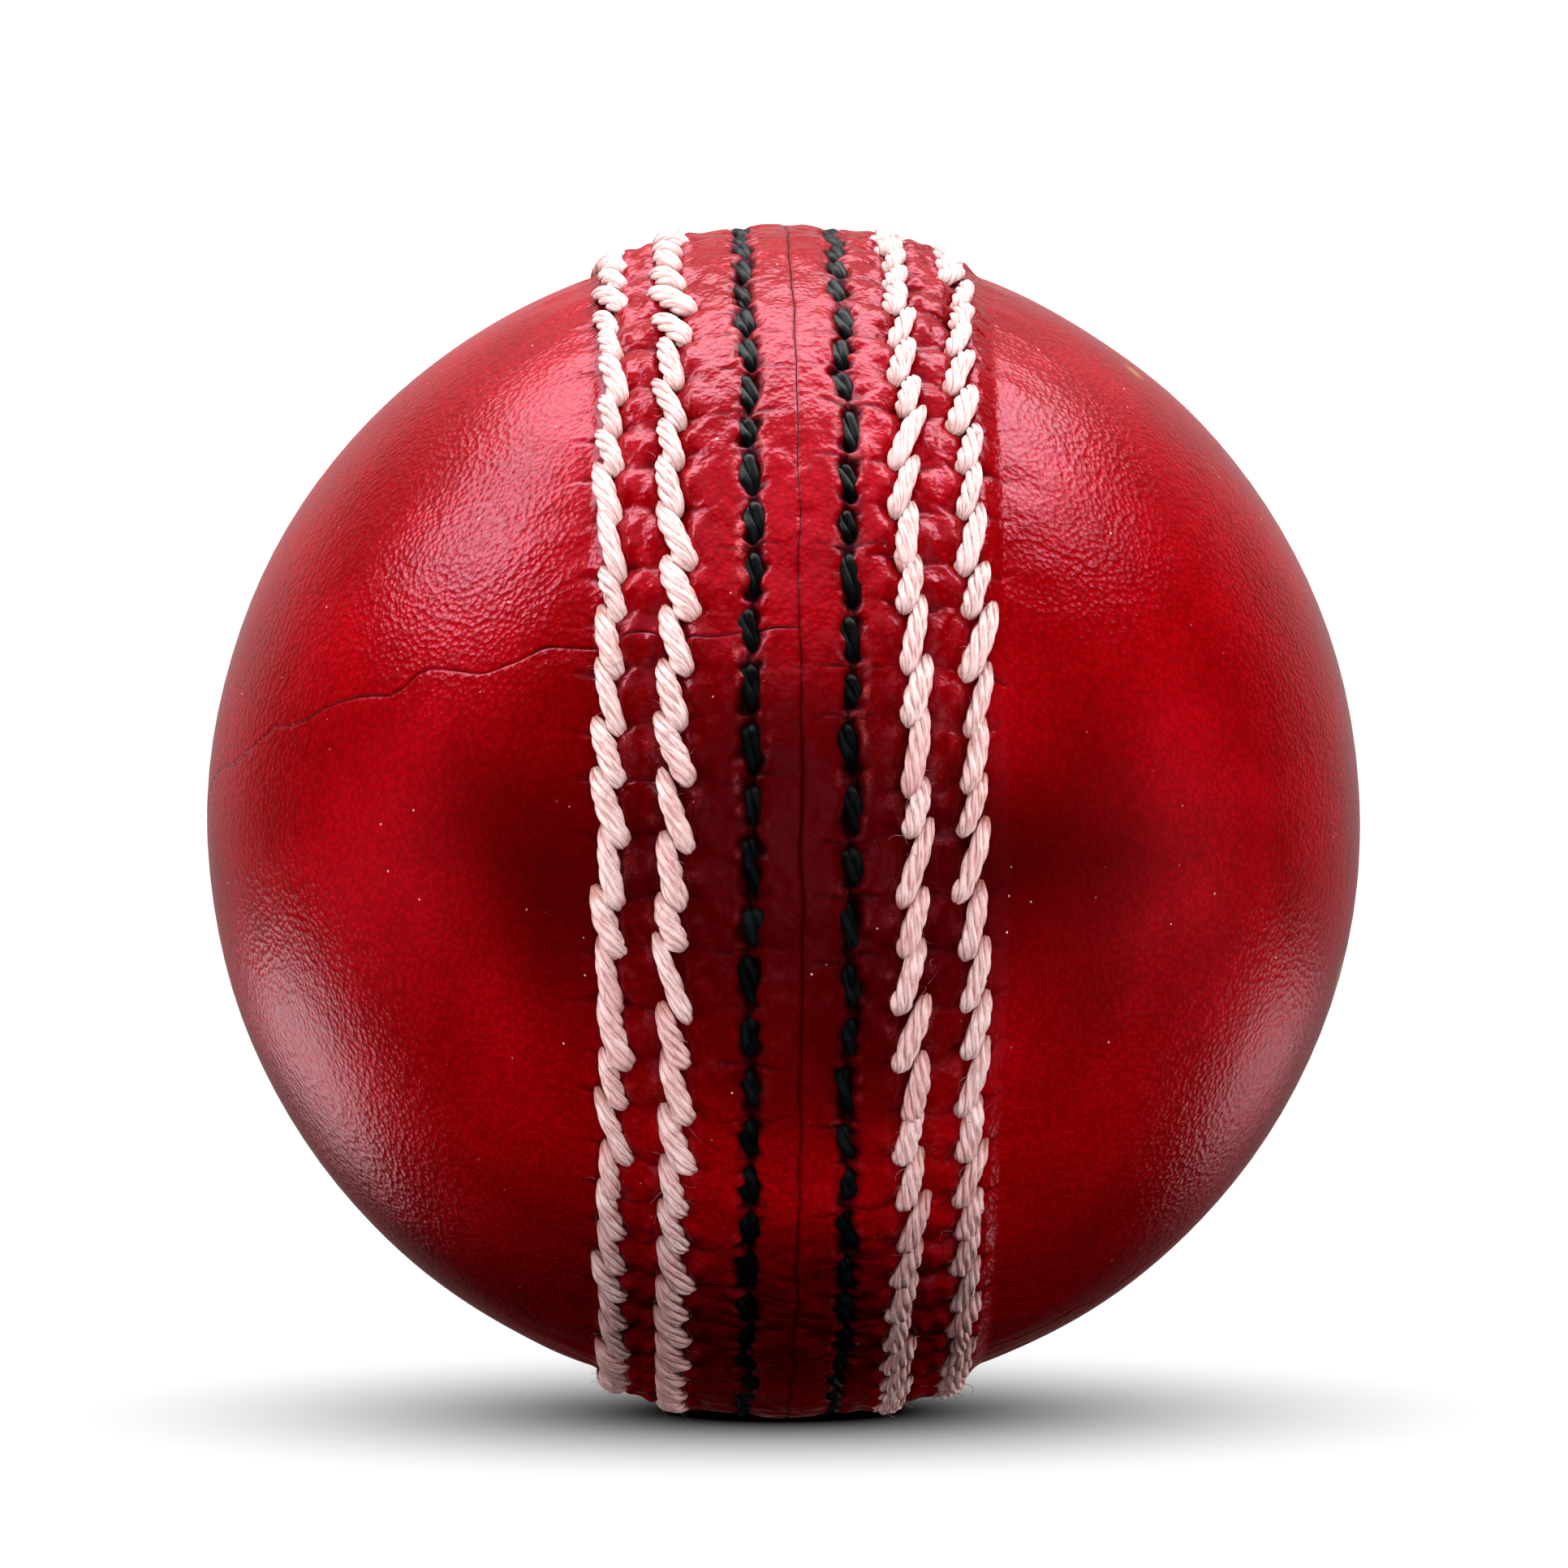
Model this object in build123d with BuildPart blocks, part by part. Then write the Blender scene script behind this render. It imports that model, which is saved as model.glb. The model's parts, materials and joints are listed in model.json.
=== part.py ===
"""A four-piece cricket ball, built as its maker builds it.

A cork and rubber nucleus is wound with worsted yarn over pressed cork cups, layer on layer. Two
lined leather hemispheres, each sewn from two quarters with a blind seam, close over that core.
Three rows of stitches run round each side of the closing joint: the closing row next to the
joint, which ties both lips together, and two rows of thick twine that raise the seam.

Frame: the origin is the ball's centre. +X is the seam's axis, from the left pole to the right
one, so the seam stands upright in the YZ plane. +Z is up and -Y faces the front.
"""

import math
import os

from build123d import *

# Driving dimensions, in millimetres.
ball_radius = 35.4  # leather surface away from the seam
seam_rise = 1.25  # crown of the seam above the leather sphere, at the joint
shoulder_rise = 0.85  # the same where the raised band ends
shoulder_width = 0.9  # slope from the band's edge down to the sphere
shoulder_blend = 0.35  # rounding of both ends of that slope
leather_thickness = 3.2
lining_thickness = 0.8
cork_thickness = 1.9  # one pressed cork cup
yarn_thickness = 1.55  # one winding of worsted yarn
winding_layers = 5  # cork cups and windings, in pairs
joint_gap = 0.02  # between the lips of a joint that is drawn shut
fit_gap = 0.02  # between pieces that are pressed or drawn against each other

# Seam rows: how far round the crown from the joint each one lies.
closing_row_offset = 2.85
inner_row_offset = 6.65
outer_row_offset = 10.3
twine_diameter = 1.5  # the four outer rows
closing_diameter = 1.1  # the closing thread
twine_sink = 0.45  # centre of the twine below the crown
closing_sink = 0.45  # centre of the closing thread below the crown
twine_neck_diameter = 0.8  # twine drawn in where it enters an awl hole
twine_stitch_gap = 0.3  # between the ends of neighbouring stitches
closing_stitch_gap = 0.7
closing_leg_diameter = 0.6  # closing thread drawn tight in its awl hole
closing_knot_diameter = 0.9  # the same thread, bunched at the hole's mouth
closing_turn_diameter = 0.8  # and where it turns between the lips
crossing_depth = 2.0  # from a closing stitch down to that turn
pitch_in_twines = 2.2  # stitch pitch, in twine diameters

# The blind seam joins the two quarters of a hemisphere inside the leather's thickness.
blind_stitch_diameter = 0.7
blind_stitch_length = 4.4
blind_stitch_pitch = 3.4
blind_end_margin = 3.0  # from the outer row to the first blind stitch
quarter_seam_pitches = 4  # stitches from the front horizon up to the left quarter seam

# Sizes worked out from the driving dimensions.
leather_inner = ball_radius - leather_thickness
lining_outer = leather_inner - fit_gap
lining_inner = lining_outer - lining_thickness
core_radius = lining_inner - fit_gap
crown_radius = ball_radius + seam_rise
twine_radius = twine_diameter / 2
closing_radius = closing_diameter / 2
closing_leg_radius = closing_leg_diameter / 2
closing_turn_radius = closing_turn_diameter / 2

# The crown of the raised band is one arc, centred on the section's radial axis.
band_edge_angle = (outer_row_offset + twine_radius) / ball_radius
foot_angle = band_edge_angle + shoulder_width / ball_radius
edge_x = (ball_radius + shoulder_rise) * math.sin(band_edge_angle)
edge_r = (ball_radius + shoulder_rise) * math.cos(band_edge_angle)
crown_drop = crown_radius - edge_r
crown_arc_radius = (edge_x**2 + crown_drop**2) / (2 * crown_drop)
crown_arc_centre = crown_radius - crown_arc_radius

# One stitch count for every row. A quarter turn holds a whole number of stitches, so both quarter
# seams pass midway between two awl holes.
stitch_count = 4 * round(math.tau * crown_radius / (4 * pitch_in_twines * twine_diameter))
pitch_angle = 360 / stitch_count
left_seam_angle = quarter_seam_pitches * pitch_angle
right_seam_angle = left_seam_angle + 90

# The ball's axis, pointed so that a turn about it climbs from the front over the top.
climbing_axis = Axis((0, 0, 0), (-1, 0, 0))


def section_plane(angle):
    """The plane through the ball's axis, turned up from the front horizon by an angle in degrees.

    Its x runs along the ball's axis and its y out from that axis.
    """
    up = math.radians(angle)
    return Plane(origin=(0, 0, 0), x_dir=(1, 0, 0), z_dir=(0, -math.sin(up), -math.cos(up)))


def row_seat(offset, sink):
    """Centre of a row's stitches in the section: along the axis and out from it."""
    turn = offset / crown_arc_radius
    reach = crown_arc_radius - sink
    return reach * math.sin(turn), crown_arc_centre + reach * math.cos(turn)


def mirrored(point, side):
    """A point of the right half's section, moved to that side: 1 is right and -1 is left."""
    return point[0] * side, point[1]


def on_sphere(radius, angle, side=1):
    """The point of the section on a sphere, at an angle in radians from the joint."""
    return side * radius * math.sin(angle), radius * math.cos(angle)


def along(plane, start, end):
    """Where a cylinder stands whose axis runs from start to end, both points of the section."""
    low, high = plane.from_local_coords(Vector(*start)), plane.from_local_coords(Vector(*end))
    return Location(Plane(origin=(low + high) * 0.5, z_dir=high - low))


def across(plane, point):
    """Where a stitch lies that passes square through the section at a point of it."""
    return Location(Plane(origin=plane.from_local_coords(Vector(*point)), z_dir=plane.z_dir))


def neck_of(seat, diameter, gap):
    """The drawn-in neck between two stitches of a row: its centre in the section, and its length.

    It joins the centres of their round ends, so it lies a little nearer the axis than the seat.
    """
    half_pitch = math.radians(pitch_angle) / 2
    half_shank = seat[1] * half_pitch - (gap + diameter) / 2
    end_reach = math.hypot(seat[1], half_shank)
    turn = half_pitch - math.atan2(half_shank, seat[1])
    return (seat[0], end_reach * math.cos(turn)), 2 * end_reach * math.sin(turn)


closing_seat = row_seat(closing_row_offset, closing_sink)
inner_seat = row_seat(inner_row_offset, twine_sink)
outer_seat = row_seat(outer_row_offset, twine_sink)
closing_knot, _ = neck_of(closing_seat, closing_diameter, closing_stitch_gap)
closing_turn = (0, closing_seat[1] - crossing_depth)
closing_leg_length = math.dist(closing_knot, closing_turn)

# Planes midway along the stitches, and planes through the awl holes between them.
stitch_planes = [section_plane(index * pitch_angle) for index in range(stitch_count)]
awl_planes = [section_plane((index + 0.5) * pitch_angle) for index in range(stitch_count)]


def write(part, name):
    """Labels a finished piece and writes its STEP file."""
    part.label = name
    export_step(part, f"parts/{name}.step")


def half_shell(outer, inner, facing):
    """Half of a hollow ball, on the side that facing points to."""
    section = Plane(origin=(0, 0, 0), x_dir=facing, z_dir=(0, 0, 1))
    with BuildPart() as shell:
        with BuildSketch(section):
            Circle(outer)
            Circle(inner, mode=Mode.SUBTRACT)
            with Locations((joint_gap / 2, 0)):
                Rectangle(outer, outer, align=(Align.MIN, Align.MIN), mode=Mode.INTERSECT)
        revolve(axis=Axis((0, 0, 0), facing))
    return shell.part


def round_ended(length, diameter):
    """A round-ended length of thread, standing on Z with its middle at the origin."""
    shank = length - diameter
    with BuildPart() as thread:
        with BuildSketch(Plane.XZ):
            SlotCenterToCenter(shank, diameter, rotation=90)
            Rectangle(diameter, 2 * length, align=(Align.MAX, Align.CENTER), mode=Mode.SUBTRACT)
        revolve(axis=Axis.Z)
    return thread.part


def stitch_row(seat, side, diameter, gap, neck_diameter):
    """One row: the stitches as they lie on the leather, joined by necks at the awl holes."""
    neck, neck_length = neck_of(seat, diameter, gap)
    stitch_length = seat[1] * math.radians(pitch_angle) - gap
    with BuildPart() as row:
        with Locations(*[across(plane, mirrored(seat, side)) for plane in stitch_planes]):
            add(round_ended(stitch_length, diameter))
        with Locations(*[across(plane, mirrored(neck, side)) for plane in awl_planes]):
            Cylinder(neck_diameter / 2, neck_length)
    return row.part


def blind_stitches(angle, side, clearance=0.0):
    """The stitches of a quarter seam, or with a clearance the room that they need.

    They lie across the joint in the middle of the leather's thickness, from lip to lip over the
    pole.
    """
    reach = leather_inner + leather_thickness / 2
    margin = (outer_row_offset + blind_end_margin) / reach
    span = math.pi - 2 * margin
    count = 1 + round(span * reach / blind_stitch_pitch)
    plane = section_plane(angle)
    places = [
        across(plane, on_sphere(reach, margin + span * index / (count - 1), side))
        for index in range(count)
    ]
    with BuildPart() as stitches:
        with Locations(*places):
            add(
                round_ended(
                    blind_stitch_length + 2 * clearance, blind_stitch_diameter + 2 * clearance
                )
            )
    return stitches.part


def cover_quarter(side, start_angle, blind_room):
    """One leather quarter: half of a hemisphere, with its share of the raised band.

    Args:
        side: 1 for the right hemisphere, -1 for the left.
        start_angle: where the quarter begins, in degrees up from the front horizon; it climbs
            half a turn from there.
        blind_room: the room that the hemisphere's blind stitches need.
    """
    lip_x = side * joint_gap / 2
    mid_crown = on_sphere(crown_arc_radius, math.asin(edge_x / crown_arc_radius) / 2, side)
    plane = section_plane(start_angle)
    with BuildPart() as quarter:
        with BuildSketch(plane) as section:
            with BuildLine():
                Line((side * leather_inner, 0), (side * ball_radius, 0))
                ThreePointArc(
                    (side * ball_radius, 0),
                    on_sphere(ball_radius, (foot_angle + math.pi / 2) / 2, side),
                    on_sphere(ball_radius, foot_angle, side),
                )
                Line(on_sphere(ball_radius, foot_angle, side), (side * edge_x, edge_r))
                ThreePointArc(
                    (side * edge_x, edge_r),
                    (mid_crown[0], crown_arc_centre + mid_crown[1]),
                    (lip_x, crown_radius),
                )
                Line((lip_x, crown_radius), (lip_x, leather_inner))
                ThreePointArc(
                    (lip_x, leather_inner),
                    on_sphere(leather_inner, math.pi / 4, side),
                    (side * leather_inner, 0),
                )
            make_face()
            fillet(
                [
                    corner
                    for corner in section.vertices()
                    if edge_x - fit_gap < side * corner.X < ball_radius * math.sin(foot_angle) + fit_gap
                ],
                shoulder_blend,
            )
            with Locations(mirrored(closing_seat, side)):
                Circle(closing_radius + fit_gap, mode=Mode.SUBTRACT)
            with Locations(mirrored(inner_seat, side), mirrored(outer_seat, side)):
                Circle(twine_radius + fit_gap, mode=Mode.SUBTRACT)
        revolve(axis=climbing_axis, revolution_arc=180)
        awls = [
            section_plane(start_angle + (index + 0.5) * pitch_angle)
            for index in range(stitch_count // 2)
        ]
        with Locations(*[along(awl, closing_turn, mirrored(closing_knot, side)) for awl in awls]):
            Cylinder(closing_leg_radius + fit_gap, closing_leg_length, mode=Mode.SUBTRACT)
        with Locations(*[across(awl, closing_turn) for awl in awls]):
            Sphere(closing_turn_radius + fit_gap, mode=Mode.SUBTRACT)
        add(blind_room, mode=Mode.SUBTRACT)
    return quarter.part


os.makedirs("parts", exist_ok=True)

# The core, from the middle out: the nucleus, then each pair of cork cups and the yarn over them.
layer_step = cork_thickness + yarn_thickness + 2 * fit_gap
nucleus_radius = core_radius - winding_layers * layer_step
with BuildPart() as nucleus:
    Sphere(nucleus_radius)
write(nucleus.part, "nucleus")

# The cups' joints are staggered: the odd pairs part left and right, the even ones front and back.
left_right = (("left", Vector(-1, 0, 0)), ("right", Vector(1, 0, 0)))
front_back = (("front", Vector(0, -1, 0)), ("back", Vector(0, 1, 0)))
for layer in range(winding_layers):
    cup_inner = nucleus_radius + layer * layer_step + fit_gap
    cup_outer = cup_inner + cork_thickness
    for half, facing in front_back if layer % 2 else left_right:
        write(half_shell(cup_outer, cup_inner, facing), f"cork_cup_{layer + 1}_{half}")
    with BuildPart() as winding:
        Sphere(cup_outer + fit_gap + yarn_thickness)
        Sphere(cup_outer + fit_gap, mode=Mode.SUBTRACT)
    write(winding.part, f"yarn_winding_{layer + 1}")

for half, facing in left_right:
    write(half_shell(lining_outer, lining_inner, facing), f"lining_{half}")

# The leather quarters, the blind stitches that join each pair, and the twine.
for half, side, seam_angle, upper, lower in (
    ("left", -1, left_seam_angle, "upper", "lower"),
    ("right", 1, right_seam_angle, "back", "front"),
):
    blind_room = blind_stitches(seam_angle, side, fit_gap)
    write(cover_quarter(side, seam_angle, blind_room), f"cover_{half}_{upper}")
    write(cover_quarter(side, seam_angle + 180, blind_room), f"cover_{half}_{lower}")
    write(blind_stitches(seam_angle, side), f"blind_stitches_{half}")
    for row, seat in (("inner", inner_seat), ("outer", outer_seat)):
        twine = stitch_row(seat, side, twine_diameter, twine_stitch_gap, twine_neck_diameter)
        write(twine, f"twine_{half}_{row}")

# One thread closes the ball: from each awl hole it dives to the joint and climbs the other side.
with BuildPart() as closing_thread:
    for side in (-1, 1):
        add(
            stitch_row(
                closing_seat, side, closing_diameter, closing_stitch_gap, closing_leg_diameter
            )
        )
        knot = mirrored(closing_knot, side)
        with Locations(*[across(plane, knot) for plane in awl_planes]):
            Sphere(closing_knot_diameter / 2)
        with Locations(*[along(plane, closing_turn, knot) for plane in awl_planes]):
            Cylinder(closing_leg_radius, closing_leg_length)
    with Locations(*[across(plane, closing_turn) for plane in awl_planes]):
        Sphere(closing_turn_radius)
write(closing_thread.part, "closing_thread")
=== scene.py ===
"""The looks of a worn four-piece cricket ball: polished red leather round a stitched seam.

The leather is four displaced shells that follow one plan of the seam: where every awl hole lies,
how the lips are drawn down at it, and how the hide puckers round it. Geometry Nodes lay the plied
twine and the dark closing stitches in their grooves. Lengths are in millimetres until a mesh is
written.
"""

import json
import logging
import math
from dataclasses import dataclass, field
from enum import Enum

import bpy
import numpy as np
from mathutils import Matrix, Vector

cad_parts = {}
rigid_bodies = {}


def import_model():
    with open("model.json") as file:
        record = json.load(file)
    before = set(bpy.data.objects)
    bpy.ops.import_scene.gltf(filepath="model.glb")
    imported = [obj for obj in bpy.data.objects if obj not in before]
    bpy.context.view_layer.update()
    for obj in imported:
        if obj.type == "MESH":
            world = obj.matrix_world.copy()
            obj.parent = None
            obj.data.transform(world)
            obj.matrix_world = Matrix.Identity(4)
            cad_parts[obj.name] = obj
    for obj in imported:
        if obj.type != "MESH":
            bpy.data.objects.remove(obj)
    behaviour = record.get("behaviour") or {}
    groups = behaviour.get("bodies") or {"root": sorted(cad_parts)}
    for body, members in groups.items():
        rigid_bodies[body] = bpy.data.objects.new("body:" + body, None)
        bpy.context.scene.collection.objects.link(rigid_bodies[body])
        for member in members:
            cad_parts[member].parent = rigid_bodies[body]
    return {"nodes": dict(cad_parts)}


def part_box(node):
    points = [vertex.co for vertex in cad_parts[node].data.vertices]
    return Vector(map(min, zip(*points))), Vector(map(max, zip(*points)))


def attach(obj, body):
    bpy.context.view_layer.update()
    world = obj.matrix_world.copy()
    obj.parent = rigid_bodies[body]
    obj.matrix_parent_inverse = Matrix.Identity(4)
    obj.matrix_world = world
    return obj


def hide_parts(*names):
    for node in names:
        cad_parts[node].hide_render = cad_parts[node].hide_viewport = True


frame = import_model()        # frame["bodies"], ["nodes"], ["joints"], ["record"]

MM = 0.001
TAU = math.tau
STITCH_COUNT = 68
LEATHER_THICKNESS = 3.2
# The frame's own boxes, as (low corner, high corner) in metres.
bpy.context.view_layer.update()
BALL_RADIUS = -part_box("cover_left_lower")[0][0] / MM
CROWN_RADIUS = -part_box("cover_left_lower")[0][2] / MM
PITCH = TAU / STITCH_COUNT
LEFT_SEAM_ANGLE = 4 * PITCH
RIGHT_SEAM_ANGLE = LEFT_SEAM_ANGLE + TAU / 4

Colour = tuple[float, float, float, float]
Triple = tuple[float, float, float]
Settings = dict[str, object]
Values = dict[str | int, object]

log = logging.getLogger("cricket_ball")


class Side(Enum):
    """A hemisphere, with the sign of X on it."""

    LEFT = -1
    RIGHT = 1


def bell(distance: np.ndarray, width: float) -> np.ndarray:
    """A smooth bump of height 1 at distance 0."""
    return np.exp(-((distance / width) ** 2))


def ramp(value: np.ndarray, low: float, high: float) -> np.ndarray:
    """Climbs smoothly from 0 at low to 1 at high, or falls where high is less than low."""
    share = np.clip((value - low) / (high - low), 0.0, 1.0)
    return share * share * (3 - 2 * share)


def joined(*parts: np.ndarray | float) -> np.ndarray:
    """Coordinates spread to one shape and joined into places."""
    return np.stack(np.broadcast_arrays(*parts), axis=-1)


def outward(side: Side, reach: np.ndarray, angles: np.ndarray) -> np.ndarray:
    """Directions from the ball's centre, by the turn from the joint and the turn round the axis."""
    level = np.cos(reach)
    return joined(side.value * np.sin(reach), -level * np.cos(angles), level * np.sin(angles))


class WaveNoise:
    """Smooth noise in space: a sum of plane waves with seeded directions and phases."""

    def __init__(self, wavelength: float, seed: int, waves: int = 20) -> None:
        """Draws the waves.

        Args:
            wavelength: the typical distance between crests.
            seed: fixes the pattern.
            waves: how many waves are summed.
        """
        rng = np.random.default_rng(seed)
        directions = rng.normal(size=(waves, 3))
        directions /= np.linalg.norm(directions, axis=1, keepdims=True)
        self.vectors = directions * (TAU / (wavelength * rng.uniform(0.7, 1.4, (waves, 1))))
        self.phases = rng.uniform(0, TAU, waves)

    def at(self, points: np.ndarray) -> np.ndarray:
        """The noise at points, mostly between -1 and 1."""
        total = np.zeros(points.shape[:-1])
        for vector, phase in zip(self.vectors, self.phases):
            total += np.cos(points @ vector + phase)
        return total * (1.4 / len(self.phases)) ** 0.5 / 1.4


@dataclass
class StitchRow:
    """The plan of one row: where its awl holes lie and how it drifts."""

    side: Side
    offset: float
    seed: int
    jitter: float = 0.13
    drift_size: float = 0.16
    holes: np.ndarray = field(init=False)
    drifts: np.ndarray = field(init=False)
    strengths: np.ndarray = field(init=False)

    def __post_init__(self) -> None:
        """Draws the holes with the row's own seed."""
        rng = np.random.default_rng(self.seed)
        shift = rng.uniform(-self.jitter, self.jitter, STITCH_COUNT)
        self.holes = (np.arange(STITCH_COUNT) + 0.5 + shift) * PITCH
        self.drifts = rng.normal(0, self.drift_size, STITCH_COUNT).clip(-0.3, 0.3)
        self.strengths = rng.uniform(0.25, 1.0, STITCH_COUNT)

    def around(self) -> np.ndarray:
        """The holes, with the last and first repeated past the ends of the turn."""
        return np.concatenate((self.holes[-1:] - TAU, self.holes, self.holes[:1] + TAU))

    def lateral(self, angles: np.ndarray) -> np.ndarray:
        """How far round the crown from the joint the row lies at these angles."""
        drifts = np.concatenate((self.drifts[-1:], self.drifts, self.drifts[:1]))
        return self.offset + np.interp(np.mod(angles, TAU), self.around(), drifts)

    def nearest(self, angles: np.ndarray) -> tuple[np.ndarray, np.ndarray]:
        """The nearest awl hole.

        Args:
            angles: places round the ball.

        Returns:
            The distance along the row from that hole, and the hole's index.
        """
        turned = np.mod(angles, TAU)
        holes = self.around()
        upper = np.clip(np.searchsorted(holes, turned), 1, len(holes) - 1)
        below, above = turned - holes[upper - 1], holes[upper] - turned
        take_below = below < above
        distance = np.where(take_below, below, -above) * BALL_RADIUS
        return distance, (np.where(take_below, upper - 1, upper) - 1) % STITCH_COUNT


@dataclass
class SeamPlan:
    """Every row of the seam, the wander of each joint, and the relief that they give the hide."""

    offsets: dict[Side, Triple] = field(
        default_factory=lambda: {Side.LEFT: (2.65, 7.05, 10.75), Side.RIGHT: (2.75, 6.25, 9.90)}
    )
    crown_rise: float = CROWN_RADIUS - BALL_RADIUS
    crown_fall: float = 0.045
    band_end: float = 10.2
    band_foot: float = 12.3
    joint_stray: float = 0.09
    lump_height: float = 0.05
    band_wrinkle: float = 0.066
    band_ripple: float = 0.032
    closing_depth: float = 0.60
    closing_width: float = 0.72
    closing_rim: float = 0.78
    crack_depth: float = 0.10
    groove_width: float = 0.80
    groove_depth: float = 0.42
    pinch_depth: float = 0.30
    pillow_offset: float = 1.15
    pillow_height: float = 0.20
    tuck_depth: float = 0.22
    crease_depth: float = 0.09
    pull_height: float = 0.055
    # Where the painted shade at the front starts and where it is full.
    stain_start: float = 0.68
    stain_full: float = 0.97
    rows: dict[tuple[Side, str], StitchRow] = field(init=False)
    lumps: WaveNoise = field(init=False)
    wrinkles: WaveNoise = field(init=False)
    ripples: WaveNoise = field(init=False)
    wander: WaveNoise = field(init=False)

    def __post_init__(self) -> None:
        """Lays out the rows and the noises."""
        self.rows = {}
        for side in Side:
            for number, name in enumerate(("closing", "inner", "outer")):
                seed = 10 + side.value + 20 * number
                self.rows[side, name] = StitchRow(side, self.offsets[side][number], seed)
        self.lumps = WaveNoise(11.0, 5)
        self.wrinkles = WaveNoise(2.6, 6, 28)
        self.ripples = WaveNoise(1.1, 7, 28)
        self.wander = WaveNoise(5.0, 8)

    def joint_wander(self, angles: np.ndarray) -> np.ndarray:
        """How far the closing joint strays to the right of the plane of the seam."""
        points = joined(0.0, np.cos(angles), np.sin(angles))
        return self.joint_stray * self.wander.at(points * BALL_RADIUS)

    def crown(self, lateral: np.ndarray) -> np.ndarray:
        """Height of the plain raised band above the leather sphere."""
        band = self.crown_rise - self.crown_fall * lateral
        return band * ramp(lateral, self.band_foot, self.band_end)

    def relief(
        self, side: Side, lateral: np.ndarray, angles: np.ndarray, seam: np.ndarray
    ) -> tuple[np.ndarray, dict[str, np.ndarray]]:
        """The hide's surface.

        Args:
            side: the hemisphere.
            lateral: distance round from the joint.
            angles: place round the ball's axis.
            seam: distance from the nearer quarter seam.

        Returns:
            The height above the leather sphere, and how strong the dirt and painted shade in creases,
            the wear on ridges (painted light where it leans to the top) and the painted front shade
            are.
        """
        points = BALL_RADIUS * outward(side, lateral / BALL_RADIUS, angles)
        band = ramp(lateral, self.band_foot, self.band_end)
        ripples, wrinkles = self.ripples.at(points), self.wrinkles.at(points)
        height = self.crown(lateral) + self.lump_height * self.lumps.at(points)
        height += band * (self.band_wrinkle * wrinkles + self.band_ripple * ripples)
        grime = np.zeros_like(height)
        wear = np.zeros_like(height)

        # In each row's grooves, trenches, cracks and tucks the hide is darkened: dirt and painted shade
        # both.
        for (row_side, name), row in self.rows.items():
            if row_side is not side:
                continue
            away = lateral - row.lateral(angles)
            along, hole = row.nearest(angles)
            strength = row.strengths[hole]
            rough = 0.22 * ripples
            if name == "closing":
                bridge = bell(along - rough, 0.36) * (0.45 + 0.45 * strength)
                trench = bell(away + rough, self.closing_width) ** 2
                height -= self.closing_depth * trench * (1 - bridge) + 0.22 * bell(away, 0.22)
                grime += 1.3 * trench * (1 - bridge) + 0.8 * trench * bell(np.abs(along) - 0.5, 0.16)
                grime += 0.8 * bell(away + rough, 0.17)
                rim = bell(np.abs(away) - self.closing_rim, 0.20)
                # Wear on the closing rows' rims and bridges, weighted towards the top of the ball: real
                # wear, with painted light in that weighting.
                rubbed_and_top_lit = ramp(wrinkles, -0.2, 0.7) * (0.15 + 0.85 * ramp(np.sin(angles), 0.0, 0.6))
                wear += rubbed_and_top_lit * np.maximum(trench * bridge, rim * ramp(ripples, 0, 0.6))
                crack = bell(along + 0.25 * wrinkles, 0.09) * (strength > 0.55)
                crack = crack * ramp(away, -2.7, -0.9) * ramp(away, 2.6, 0.9)
                height -= self.crack_depth * crack
                grime += 0.80 * crack
            else:
                groove = bell(away, self.groove_width)
                pinch = bell(along, 0.55)
                height -= groove * (self.groove_depth + self.pinch_depth * pinch * strength)
                beside = bell(np.abs(away) - self.pillow_offset, 0.50)
                if name == "outer":
                    beside = beside * ramp(away, 1.2, 0.2)
                swell = self.pillow_height * np.cos(TAU * along / (PITCH * BALL_RADIUS)) - 0.05
                height -= beside * swell
                tuck = bell(along + 0.35 * wrinkles, 0.17) * bell(np.abs(away) - 0.9, 1.15)
                height -= self.tuck_depth * tuck * strength
                grime += 0.55 * groove * (0.45 + pinch) + 0.50 * tuck * strength
                wear += 0.12 * beside * ramp(ripples + wrinkles, 0.2, 1.2)

        # The joint and the quarter seams are creased and darkened: dirt and painted shade both.
        height -= 0.06 * bell(lateral, 0.12) + 0.03 * bell(lateral, 0.5)
        grime += 0.42 * bell(lateral, 0.13)
        crease = bell(seam, 0.10) * (0.65 + 0.5 * wrinkles)
        height -= self.crease_depth * crease
        grime += 0.65 * crease
        pulls = ramp(lateral, 19.0, 11.5) * (1 - band)
        stretched = self.wrinkles.at(points * np.array((0.25, 1.0, 1.0)))
        height += self.pull_height * pulls * stretched
        # Painted shade: the leather darkens towards the front of the ball, less so high up and low
        # down.
        above, below = np.maximum(points[..., 2], 0), np.maximum(-points[..., 2], 0)
        front = (-points[..., 1] - 0.45 * above - 0.30 * below) / BALL_RADIUS
        uneven = 0.05 * self.lumps.at(points)
        stain = ramp(front + uneven, self.stain_start, self.stain_full)
        marks = {"grime": grime, "wear": wear, "stain": stain}
        return height, {name: np.clip(mark, 0, 1) for name, mark in marks.items()}

    def place(self, side: Side, lateral: float, angle: float, height: float) -> Matrix:
        """The frame of a stitch: X to the right, Y up the front of the row and Z outwards.

        Args:
            side: the hemisphere.
            lateral: distance round from the joint.
            angle: place round the ball's axis.
            height: how far above the leather sphere.

        Returns:
            The frame as a matrix in metres.
        """
        reach = lateral / BALL_RADIUS
        level, out = side.value * math.sin(reach), math.cos(reach)
        normal = Vector((level, -out * math.cos(angle), out * math.sin(angle)))
        climb = Vector((0, math.sin(angle), math.cos(angle)))
        across = climb.cross(normal)
        frame_axes = Matrix((across, climb, normal)).transposed().to_4x4()
        frame_axes.translation = normal * ((BALL_RADIUS + height) * MM)
        return frame_axes


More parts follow.
